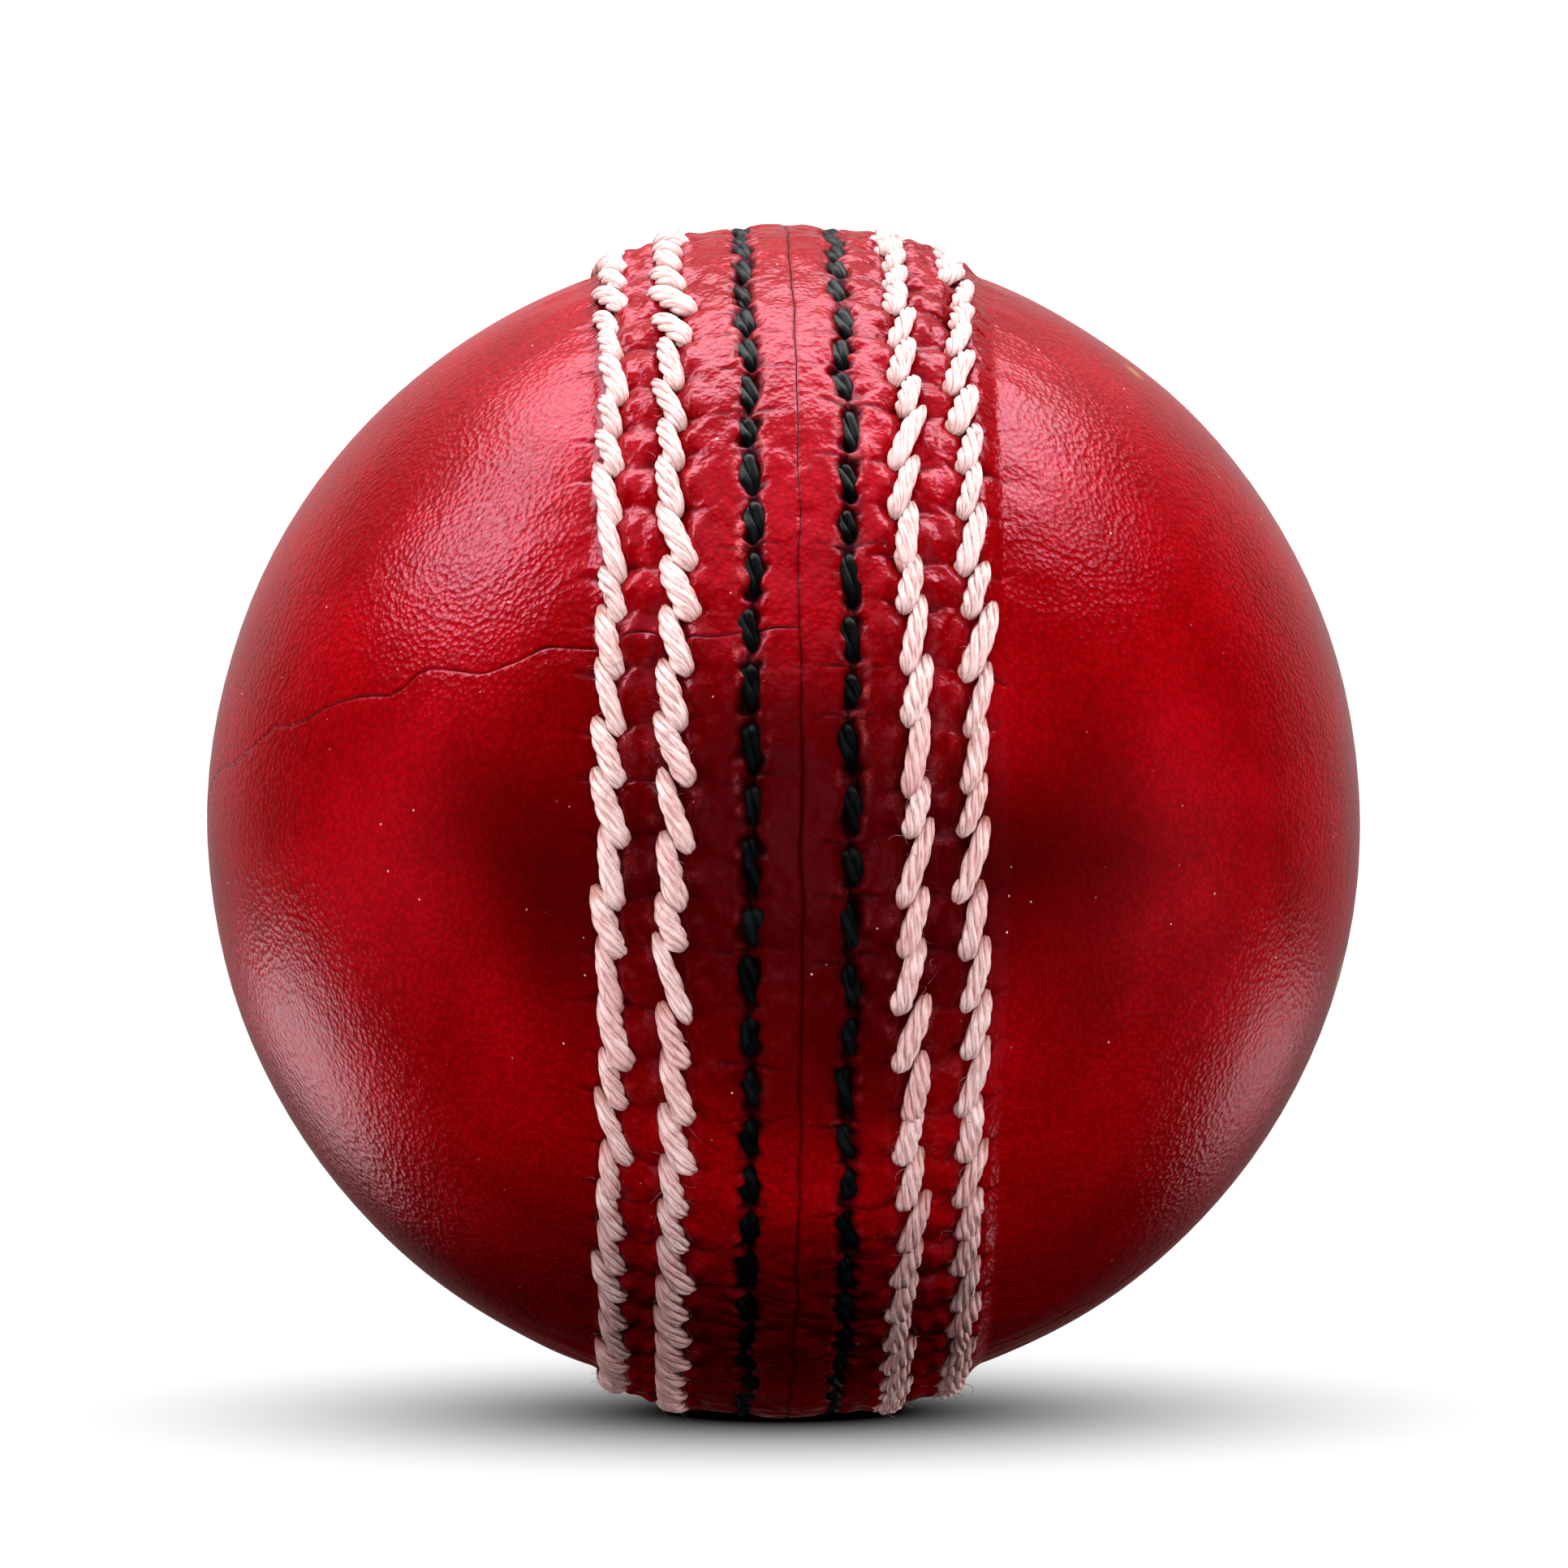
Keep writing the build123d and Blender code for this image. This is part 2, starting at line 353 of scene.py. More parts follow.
class Shade:
    """A shader socket on which Python's operators add Math nodes."""

    def __init__(self, tree: "NodeBoard", socket: bpy.types.NodeSocket) -> None:
        """Wraps a socket of the tree."""
        self.tree = tree
        self.socket = socket

    def _math(self, operation: str, *values: "Shade | float") -> "Shade":
        """A Math node on the values."""
        return self.tree.add(
            "ShaderNodeMath", {"operation": operation}, dict(enumerate(values))
        )

    def __add__(self, other: "Shade | float") -> "Shade":
        """Sum."""
        return self._math("ADD", self, other)

    __radd__ = __add__

    def __mul__(self, other: "Shade | float") -> "Shade":
        """Product."""
        return self._math("MULTIPLY", self, other)

    __rmul__ = __mul__

    def __sub__(self, other: "Shade | float") -> "Shade":
        """Difference."""
        return self._math("SUBTRACT", self, other)

    def __rsub__(self, other: "Shade | float") -> "Shade":
        """Difference, from a number."""
        return self._math("SUBTRACT", other, self)

    def __pow__(self, other: "Shade | float") -> "Shade":
        """Power."""
        return self._math("POWER", self, other)

    def peak(self, other: "Shade | float") -> "Shade":
        """The larger of the two."""
        return self._math("MAXIMUM", self, other)

    def step(self, low: float, high: float) -> "Shade":
        """Climbs smoothly from 0 at low to 1 at high."""
        settings = {"interpolation_type": "SMOOTHSTEP"}
        values = {"Value": self, "From Min": low, "From Max": high}
        return self.tree.add("ShaderNodeMapRange", settings, values)


class NodeBoard:
    """Adds and links the nodes of a tree."""

    def __init__(self, tree: bpy.types.NodeTree) -> None:
        """Works on the given tree."""
        self.nodes = tree.nodes
        self.links = tree.links

    def put(
        self, kind: str, settings: Settings | None = None, values: Values | None = None
    ) -> bpy.types.Node:
        """Adds a node.

        Args:
            kind: the node's type.
            settings: the node's own properties, set first.
            values: a number, colour, vector or link for each input socket.

        Returns:
            The new node.
        """
        node = self.nodes.new(kind)
        for name, setting in (settings or {}).items():
            setattr(node, name, setting)
        for name, value in (values or {}).items():
            self.feed(node.inputs[name], value)
        return node

    def add(
        self,
        kind: str,
        settings: Settings | None = None,
        values: Values | None = None,
        output: str | int = 0,
    ) -> Shade:
        """Adds a node, as put does, and returns one of its outputs, wrapped."""
        return Shade(self, self.put(kind, settings, values).outputs[output])

    def feed(self, socket: bpy.types.NodeSocket, value: object) -> None:
        """Links a socket, wrapped or bare, or sets a constant."""
        source = value.socket if isinstance(value, Shade) else value
        if isinstance(source, bpy.types.NodeSocket):
            self.links.new(source, socket)
        else:
            socket.default_value = value

    def combine(self, share: Shade, first: Shade, second: Shade) -> Shade:
        """A shader between first and second."""
        return self.add("ShaderNodeMixShader", None, {0: share, 1: first, 2: second})

    def mix(self, share: Shade | float, first: object, second: object) -> Shade:
        """A colour between first and second."""
        settings = {"data_type": "RGBA"}
        return self.add("ShaderNodeMix", settings, {0: share, 6: first, 7: second}, 2)

    def coordinates(self) -> Shade:
        """Object coordinates, in metres."""
        return self.add("ShaderNodeTexCoord", output="Object")

    def reading(self, attribute: str, output: str = "Fac") -> Shade:
        """A mesh attribute."""
        return self.add("ShaderNodeAttribute", {"attribute_name": attribute}, output=output)

    def noise(self, vector: Shade, size: float, detail: float = 2.0) -> Shade:
        """Noise from 0 to 1 with features of the given size in millimetres."""
        values = {"Vector": vector, "Scale": 1 / (size * MM), "Detail": detail}
        return self.add("ShaderNodeTexNoise", None, values)

    def cells(self, vector: Shade, size: float, output: str = "Distance") -> Shade:
        """Voronoi cells of the given size in millimetres."""
        values = {"Vector": vector, "Scale": 1 / (size * MM)}
        return self.add("ShaderNodeTexVoronoi", None, values, output)

    def bump(self, height: Shade, depth: float, strength: float = 1.0) -> Shade:
        """A normal from a height between 0 and 1, depth millimetres deep."""
        values = {"Height": height, "Distance": depth * MM, "Strength": strength}
        return self.add("ShaderNodeBump", None, values)


class Painter(NodeBoard):
    """Builds one material round a Principled shader."""

    def __init__(self, name: str) -> None:
        """Starts the material."""
        self.material = bpy.data.materials.new(name)
        self.material.use_nodes = True
        super().__init__(self.material.node_tree)
        self.shader = self.nodes["Principled BSDF"]

    def finish(self, **values: object) -> bpy.types.Material:
        """Feeds the shader's sockets, named with underscores for spaces."""
        for name, value in values.items():
            label = name.replace("_", " ").title().replace("Ior", "IOR")
            self.feed(self.shader.inputs[label], value)
        return self.material


@dataclass(frozen=True)
class Scuff:
    """A pale rubbed mark on the leather."""

    x: float
    y: float
    z: float
    reach: float


@dataclass(frozen=True)
class PolishedLeather:
    """Dyed, greased and lacquered hide with pebbled grain."""

    red: Colour = (0.37, 0.0006, 0.009, 1)
    deep_red: Colour = (0.27, 0.0004, 0.004, 1)
    # The painted shade at the front; it also darkens the edges of the pebbles.
    shade_and_grain_red: Colour = (0.045, 0.0001, 0.0003, 1)
    # Dirt and painted shade in the creases, grooves and trenches.
    grime: Colour = (0.012, 0.0005, 0.0005, 1)
    # Lighter pink wear; it also paints light where the wear is weighted to the top.
    worn_and_top_lit: Colour = (0.60, 0.17, 0.18, 1)
    dust: Colour = (0.80, 0.66, 0.64, 1)
    scuffed: Colour = (0.42, 0.33, 0.12, 1)
    grain_size: float = 0.36
    fine_size: float = 0.16
    crease_size: float = 1.7
    patch_size: float = 9.0
    speck_size: float = 1.25
    stain_strength: float = 0.80
    grime_strength: float = 0.92
    grain_depth: float = 0.075
    scuffs: tuple[Scuff, ...] = (Scuff(20.9, -6.8, 27.7, 1.0), Scuff(33.6, -6.6, -9.0, 1.7))

    def material(self) -> bpy.types.Material:
        """Builds the material."""
        paint = Painter("red_leather")
        place = paint.coordinates()
        pebbles = paint.cells(place, self.grain_size)
        fine = paint.noise(place, self.fine_size, 3)
        patches = paint.noise(place, self.patch_size, 4)
        creases = paint.noise(place, self.crease_size, 5)
        colour = paint.mix(patches.step(0.30, 0.72), self.deep_red, self.red)
        # Painted shade: darker towards the front of the ball.
        colour = paint.mix(paint.reading("stain") * self.stain_strength, colour, self.shade_and_grain_red)
        colour = paint.mix(pebbles.step(0.05, 0.75) * 0.30, colour, self.shade_and_grain_red)
        for scuff in self.scuffs:
            centre = (scuff.x * MM, scuff.y * MM, scuff.z * MM)
            settings = {"operation": "DISTANCE"}
            away = paint.add("ShaderNodeVectorMath", settings, {0: place, 1: centre}, "Value")
            near = 1 - (away * (1 / (scuff.reach * MM)) + creases * 0.9 - 0.45).step(0.2, 1.0)
            colour = paint.mix(near * fine.step(0.35, 0.65) * 0.85, colour, self.scuffed)
        specks = 1 - paint.cells(place, self.speck_size).step(0.035, 0.075)
        lint = specks * paint.noise(place, 4.0, 2).step(0.50, 0.62)
        colour = paint.mix(lint * 0.75, colour, self.dust)
        # Lighter pink wear, weighted to the top of the ball, where it also paints the overhead light.
        worn_and_top_lit = paint.reading("wear") * fine.step(0.25, 0.7)
        colour = paint.mix(worn_and_top_lit, colour, self.worn_and_top_lit)
        # Dirt and painted shade in the creases, grooves and trenches.
        colour = paint.mix(paint.reading("grime") * self.grime_strength, colour, self.grime)
        # The grain is shallower where the painted shade at the front lies.
        relief = (pebbles * 0.5 + fine * 0.25 + creases * 0.7) * (1 - paint.reading("stain") * 0.4)
        return paint.finish(
            base_color=colour,
            roughness=0.18 + patches * 0.12 + worn_and_top_lit * 0.3 + paint.reading("grime") * 0.3,
            specular_ior_level=0.40,
            specular_tint=(1.0, 0.64, 0.88, 1),
            normal=paint.bump(relief, self.grain_depth),
        )


@dataclass(frozen=True)
class TwistedThread:
    """Plied thread: fine strands run round every ply."""

    name: str
    crest: Colour
    tint: Colour
    dirt_and_shade: Colour
    roughness: float
    strand_depth: float

    def material(self) -> bpy.types.Material:
        """Builds the material."""
        paint = Painter(self.name)
        chart = paint.reading("chart", "Vector")
        place = paint.coordinates()
        settings = {"vector_type": "POINT"}
        turn = {"Vector": chart, "Scale": (46.0, 5.0, 1.0), "Rotation": (0.0, 0.0, 0.16)}
        run = paint.add("ShaderNodeMapping", settings, turn)
        strands = paint.add("ShaderNodeTexNoise", None, {"Vector": run, "Scale": 1.0, "Detail": 3.0})
        stains = paint.noise(place, 1.1, 4)
        shade = paint.reading("shade")
        low = paint.reading("low")
        # Random stains, and painted shade: stitches lower round the ball turn from the crest towards
        # the tint.
        colour = paint.mix((stains + shade * 0.5).step(0.45, 1.0), self.crest, self.tint)
        # Dirt and painted shade in the grooves between the strands.
        colour = paint.mix(strands.step(0.52, 0.36) * 0.45, colour, self.dirt_and_shade)
        # Dirt and painted shade on the undersides of the plies.
        colour = paint.mix((low + stains * 0.5 - 0.25).step(0.35, 1.05), colour, self.dirt_and_shade)
        return paint.finish(
            base_color=colour,
            roughness=self.roughness + 0.12 * strands,
            specular_ior_level=0.35,
            normal=paint.bump(strands + stains * 0.3, self.strand_depth),
        )


@dataclass(frozen=True)
class HiddenFinish:
    """A matt finish of an inner piece: two tones in grains or in crossing strands."""

    name: str
    light: Colour
    dark: Colour
    grain: float
    stretch: Triple = (1.0, 1.0, 1.0)
    roughness: float = 0.85

    def material(self) -> bpy.types.Material:
        """Builds the material."""
        paint = Painter(self.name)
        values = {"Vector": paint.coordinates(), "Scale": self.stretch}
        place = paint.add("ShaderNodeMapping", None, values)
        grains = paint.cells(place, self.grain)
        cloud = paint.noise(place, self.grain * 2.5, 4)
        colour = paint.mix((grains * 0.7 + cloud * 0.6).step(0.3, 0.9), self.light, self.dark)
        return paint.finish(
            base_color=colour,
            roughness=self.roughness + 0.1 * cloud,
            normal=paint.bump(grains + cloud, 0.12),
        )


class MeshDraft:
    """Gathers corners and faces, and writes them as one mesh."""

    def __init__(self) -> None:
        """Starts empty."""
        self.points: list[np.ndarray] = []
        self.faces: list[list[int]] = []
        self.charts: list[np.ndarray] = []
        self.values: dict[str, list[np.ndarray]] = {}
        self.count = 0

    def add(self, points: np.ndarray, chart: np.ndarray, **values: np.ndarray) -> np.ndarray:
        """Adds corners.

        Args:
            points: an array of places, in millimetres.
            chart: where each lies on the piece's flat chart.
            values: a number for each, under its attribute's name.

        Returns:
            Their indices, in the shape of the array.
        """
        shape = points.shape[:-1]
        number = int(np.prod(shape))
        self.points.append(points.reshape(-1, 3))
        self.charts.append(chart.reshape(-1, 2))
        for name, value in values.items():
            self.values.setdefault(name, []).append(np.broadcast_to(value, shape).reshape(-1))
        indices = np.arange(self.count, self.count + number).reshape(shape)
        self.count += number
        return indices

    def grid(self, indices: np.ndarray, flip: bool = False) -> None:
        """Covers a grid of corners with quads."""
        quads = np.stack(
            (indices[:-1, :-1], indices[1:, :-1], indices[1:, 1:], indices[:-1, 1:]), axis=-1
        ).reshape(-1, 4)
        self.faces.extend((quads[:, ::-1] if flip else quads).tolist())

    def fan(self, ring: np.ndarray, tip: int, flip: bool = False) -> None:
        """Joins each side of a ring to a tip."""
        for low, high in zip(ring[:-1], ring[1:]):
            self.faces.append([int(high), int(low), tip] if flip else [int(low), int(high), tip])

    def write(self, name: str, chart_name: str) -> bpy.types.Mesh:
        """Writes the mesh in metres, with its chart and its attributes."""
        mesh = bpy.data.meshes.new(name)
        mesh.from_pydata((np.concatenate(self.points) * MM).tolist(), [], self.faces)
        corners = np.empty(len(mesh.loops), dtype=np.int32)
        mesh.loops.foreach_get("vertex_index", corners)
        layer = mesh.attributes.new(chart_name, "FLOAT2", "CORNER")
        layer.data.foreach_set("vector", np.concatenate(self.charts)[corners].astype("f4").ravel())
        for attribute, parts in self.values.items():
            layer = mesh.attributes.new(attribute, "FLOAT", "POINT")
            layer.data.foreach_set("value", np.concatenate(parts).astype("f4"))
        mesh.shade_smooth()
        mesh.validate()
        return mesh


@dataclass
class LeatherQuarter:
    """One quarter of the cover: a curved piece of hide, thick, with its stretch of the band."""

    name: str
    side: Side
    start: float
    plan: SeamPlan
    across_step: float = 0.15
    along_step: float = 0.172
    growth: float = 1.085
    widest_step: float = 1.7
    fine_reach: float = 12.9
    edge_steps: tuple[float, ...] = (0.0, 0.05, 0.10, 0.16, 0.24, 0.34)
    inner_rows: int = 6
    half_gap: float = 0.01
    seam_stray: float = 0.50
    seam_fray: float = 0.16

    def laterals(self) -> np.ndarray:
        """Distances from the joint of the rows of corners, close on the band, short of the pole."""
        steps = list(self.edge_steps)
        pole = BALL_RADIUS * TAU / 4
        step = self.across_step
        while steps[-1] + step < pole - step / 2:
            steps.append(steps[-1] + step)
            if steps[-1] > self.fine_reach:
                step = min(step * self.growth, self.widest_step)
        return np.array(steps)

    def columns(self) -> np.ndarray:
        """Distances from the start of the quarter of the columns of corners, over the half turn."""
        length = BALL_RADIUS * TAU / 2
        edge = np.array(self.edge_steps)
        count = round((length - 2 * edge[-1]) / self.along_step)
        middle = np.linspace(edge[-1], length - edge[-1], count + 1)[1:-1]
        return np.concatenate((edge, middle, (length - edge)[::-1]))

    def seam_wander(self, start: float, laterals: np.ndarray) -> np.ndarray:
        """How far a quarter seam strays up from its plane, by distance from the joint."""
        reach = laterals / BALL_RADIUS
        points = BALL_RADIUS * outward(self.side, reach, np.array(start))
        stray = self.seam_stray * self.plan.wander.at(points)
        stray += self.seam_fray * self.plan.wrinkles.at(points)
        return stray * ramp(reach, TAU / 4, TAU / 4 - 0.12)

    def build(self) -> bpy.types.Object:
        """Builds the quarter's mesh.

        Returns:
            The new object, at the origin.
        """
        draft = MeshDraft()
        laterals, columns = self.laterals(), self.columns()
        reach = (laterals / BALL_RADIUS)[:, None]
        low = self.seam_wander(self.start, laterals)[:, None]
        high = self.seam_wander(self.start + TAU / 2, laterals)[:, None]
        share = columns[None, :] / columns[-1]
        narrowing = np.maximum(np.cos(reach), 0.02)
        angles = self.start + share * TAU / 2
        angles = angles + (low * (1 - share) ** 6 + high * share**6) / (BALL_RADIUS * narrowing)
        from_seam = np.minimum(columns, columns[-1] - columns)[None, :] * narrowing
        lateral = np.broadcast_to(laterals[:, None], angles.shape)
        height, marks = self.plan.relief(self.side, lateral, angles, from_seam)
        radius = BALL_RADIUS + height
        sideways = self.side.value * (np.sin(reach) * radius + self.half_gap)
        sideways = sideways + self.plan.joint_wander(angles) * bell(lateral, 2.2)
        level = np.cos(reach) * radius
        surface = joined(sideways, -level * np.cos(angles), level * np.sin(angles))
        chart = joined(share, 0.12 + 0.88 * reach / (TAU / 4))
        outer = draft.add(surface, chart, **marks)
        flip = self.side is Side.RIGHT
        draft.grid(outer, flip)
        pole_height = BALL_RADIUS + float(height[-1].mean())
        pole = self.corner(draft, pole_height, 1.0)
        draft.fan(outer[-1][::-1], pole, flip)

        depth = BALL_RADIUS - LEATHER_THICKNESS
        under = np.linspace(0, TAU / 4, self.inner_rows + 1)[:-1][:, None]
        inner_angles = np.broadcast_to(angles[:1], (self.inner_rows, angles.shape[1])).copy()
        inside = depth * outward(self.side, under, inner_angles)
        inside[..., 0] += self.side.value * self.half_gap
        under_chart = joined(share, 0.1 * under / (TAU / 4))
        inner = draft.add(inside, under_chart, grime=0.3, wear=0.6, stain=0.0)
        draft.grid(inner, not flip)
        inner_pole = self.corner(draft, depth, 0.0)
        draft.fan(inner[-1][::-1], inner_pole, not flip)
        draft.grid(np.stack((inner[0], outer[0])), flip)
        for column in (0, -1):
            wall = [*outer[:, column], pole, inner_pole, *inner[::-1, column]]
            wall = [int(corner) for corner in wall]
            draft.faces.append(wall if (column == 0) == flip else wall[::-1])
        mesh = draft.write(self.name, "OFBake")
        return bpy.data.objects.new(f"leather_{self.name}", mesh)

    def corner(self, draft: MeshDraft, radius: float, level: float) -> int:
        """Adds the corner at the pole, and returns its index."""
        point = np.array([[self.side.value * radius, 0.0, 0.0]])
        return int(draft.add(point, np.array([[0.5, level]]), grime=0.0, wear=0.0, stain=0.0)[0])


@dataclass
class ThreadShape:
    """The shape of one stitch: plies laid round each other, blunt at its head."""

    length: float
    radius: float
    plies: int
    twist: float
    dive: float
    tail_share: float
    spread: float = 0.62
    sides: int = 8
    rings: int = 18

    def build(self, name: str, seed: int) -> bpy.types.Object:
        """Builds one variant, its head towards -Y and its crest towards +Z."""
        rng = np.random.default_rng(seed)
        draft = MeshDraft()
        along = np.linspace(0, 1, self.rings)
        swell = self.tail_share + (1 - self.tail_share) * ramp(along, 0.0, 0.5)
        past = np.maximum(along - 0.80, 0.95 * (0.20 - along)).clip(0)
        swell = swell * np.sqrt(1 - (past / 0.205) ** 2) * rng.uniform(0.92, 1.06)
        spine = np.zeros((self.rings, 3))
        spine[:, 0] = 0.07 * np.sin(along * rng.uniform(2, 5) + rng.uniform(0, TAU))
        spine[:, 1] = self.length * (0.5 - along)
        spine[:, 2] = -self.dive * (ramp(along, 0.36, 0.0) + 0.85 * ramp(along, 0.76, 1.02))
        first = rng.uniform(0, TAU)
        turn = np.linspace(0, TAU, self.sides + 1)
        for ply in range(self.plies):
            angle = first + TAU * ply / self.plies - self.twist * along
            spread = self.spread * self.radius * swell * (1 + 0.05 * rng.normal())
            centre = spine.copy()
            centre[:, 0] += spread * np.cos(angle)
            centre[:, 2] += spread * np.sin(angle) * 0.85
            thickness = (1.02 - self.spread) * self.radius * swell * rng.uniform(0.95, 1.06)
            thickness = thickness[:, None]
            ring = joined(
                centre[:, None, 0] + thickness * np.cos(turn),
                centre[:, None, 1],
                centre[:, None, 2] + thickness * np.sin(turn) * 0.92,
            )
            share = (ply + 0.02 + 0.96 * turn / TAU) / self.plies
            chart = joined(share, 0.02 + 0.96 * along[:, None])
            # Painted shade: corners low on their ply, towards the leather, darken the thread's
            # underside.
            underside_shade = np.clip(0.55 - ring[..., 2] / (2 * self.radius), 0, 1)
            tube = draft.add(ring, chart, low=underside_shade)
            draft.grid(tube, flip=True)
        mesh = draft.write(name, "chart")
        return bpy.data.objects.new(name, mesh)


@dataclass
class Fibre:
    """A stray fibre: a fine curled hair that stands out of the thread."""

    length: float
    thickness: float = 0.022
    rings: int = 7

    def build(self, name: str, seed: int) -> bpy.types.Object:
        """Builds one variant, rooted at the origin."""
        rng = np.random.default_rng(seed)
        draft = MeshDraft()
        along = np.linspace(0, 1, self.rings)
        bend = rng.uniform(0.5, 1.6)
        spine = joined(
            self.length * 0.35 * np.sin(along * bend * 2 + rng.uniform(-0.5, 0.5)),
            self.length * np.sin(along * bend) / bend,
            self.length * 0.5 * (1 - np.cos(along * bend)) + 0.15 * along,
        )
        turn = np.linspace(0, TAU, 4)
        thickness = (self.thickness * (1 - 0.6 * along))[:, None]
        ring = spine[:, None, :] + joined(thickness * np.cos(turn), 0.0, thickness * np.sin(turn))
        chart = joined(turn / TAU, along[:, None])
        draft.grid(draft.add(ring, chart, low=0.0), flip=True)
        return bpy.data.objects.new(name, draft.write(name, "chart"))


class LayingTree(NodeBoard):
    """A Geometry Nodes tree that lays stitches and stray fibres on a row's points."""

    CELLS = 20

    def __init__(self) -> None:
        """Builds the tree, with named inputs."""
        self.group = bpy.data.node_groups.new("lay_row", "GeometryNodeTree")
        super().__init__(self.group)
        face = self.group.interface
        face.new_socket("Points", in_out="INPUT", socket_type="NodeSocketGeometry")
        face.new_socket("Row", in_out="OUTPUT", socket_type="NodeSocketGeometry")
        self.inputs: dict[str, str] = {}
        for name, kind in (
            ("Stitches", "NodeSocketCollection"),
            ("Fibres", "NodeSocketCollection"),
            ("Material", "NodeSocketMaterial"),
        ):
            socket = face.new_socket(name, in_out="INPUT", socket_type=kind)
            self.inputs[name] = socket.identifier
        start = self.put("NodeGroupInput").outputs
        sorting = {"Geometry": start["Points"], "Selection": self.read("kind", "INT")}
        parted = self.put("GeometryNodeSeparateGeometry", None, sorting).outputs
        laid = [
            self.lay(start["Fibres"], parted["Selection"]),
            self.lay(start["Stitches"], parted["Inverted"]),
        ]
        merged = self.put("GeometryNodeJoinGeometry")
        for piece in laid:
            self.links.new(piece, merged.inputs[0])
        real = self.put("GeometryNodeRealizeInstances", None, {"Geometry": merged.outputs[0]})
        chart, cell = self.read("chart", "FLOAT_VECTOR"), self.read("cell", "FLOAT_VECTOR")
        scale = {0: chart, 1: (0.94 / self.CELLS,) * 3, 2: cell}
        unfolded = self.put("ShaderNodeVectorMath", {"operation": "MULTIPLY_ADD"}, scale)
        stored = self.put(
            "GeometryNodeStoreNamedAttribute",
            {"data_type": "FLOAT2", "domain": "CORNER"},
            {"Geometry": real.outputs[0], "Name": "OFBake", "Value": unfolded.outputs[0]},
        )
        dressing = {"Geometry": stored.outputs[0], "Material": start["Material"]}
        painted = self.put("GeometryNodeSetMaterial", None, dressing)
        end = self.put("NodeGroupOutput")
        self.links.new(painted.outputs[0], end.inputs[0])

    def read(self, name: str, kind: str) -> bpy.types.NodeSocket:
        """A named attribute of the points or of what was laid on them."""
        node = self.put("GeometryNodeInputNamedAttribute", {"data_type": kind}, {"Name": name})
        return node.outputs[0]

    def lay(self, shapes: bpy.types.NodeSocket, points: bpy.types.NodeSocket) -> bpy.types.NodeSocket:
        """Puts a chosen shape on each point, turned and sized by the point's attributes."""
        source = {"Collection": shapes, "Separate Children": True, "Reset Children": True}
        picked = self.put("GeometryNodeCollectionInfo", None, source)
        turn = self.put("FunctionNodeEulerToRotation", None, {0: self.read("turn", "FLOAT_VECTOR")})
        values = {
            "Points": points,
            "Instance": picked.outputs[0],
            "Pick Instance": True,
            "Instance Index": self.read("variant", "INT"),
            "Rotation": turn.outputs[0],
            "Scale": self.read("size", "FLOAT_VECTOR"),
        }
        return self.put("GeometryNodeInstanceOnPoints", None, values).outputs[0]


@dataclass(frozen=True)
class LaidPoint:
    """A point that a shape is laid on: kind 0 is a stitch and kind 1 a fibre."""

    place: Matrix
    kind: int
    variant: int
    size: Triple
    shade: float


def write_points(name: str, points: list[LaidPoint]) -> bpy.types.Object:
    """Writes the points as a mesh, with an attribute for each thing the laying tree reads."""
    mesh = bpy.data.meshes.new(name)
    mesh.from_pydata([tuple(point.place.translation) for point in points], [], [])
    side = LayingTree.CELLS
    cells = [(i % side / side, i // side % side / side, 0.0) for i in range(len(points))]
    for attribute, kind, key, values in (
        ("kind", "INT", "value", [point.kind for point in points]),
        ("variant", "INT", "value", [point.variant for point in points]),
        ("shade", "FLOAT", "value", [point.shade for point in points]),
        ("turn", "FLOAT_VECTOR", "vector", [tuple(point.place.to_euler()) for point in points]),
        ("size", "FLOAT_VECTOR", "vector", [point.size for point in points]),
        ("cell", "FLOAT_VECTOR", "vector", cells),
    ):
        layer = mesh.attributes.new(attribute, kind, "POINT")
        layer.data.foreach_set(key, np.array(values).ravel())
    return bpy.data.objects.new(name, mesh)


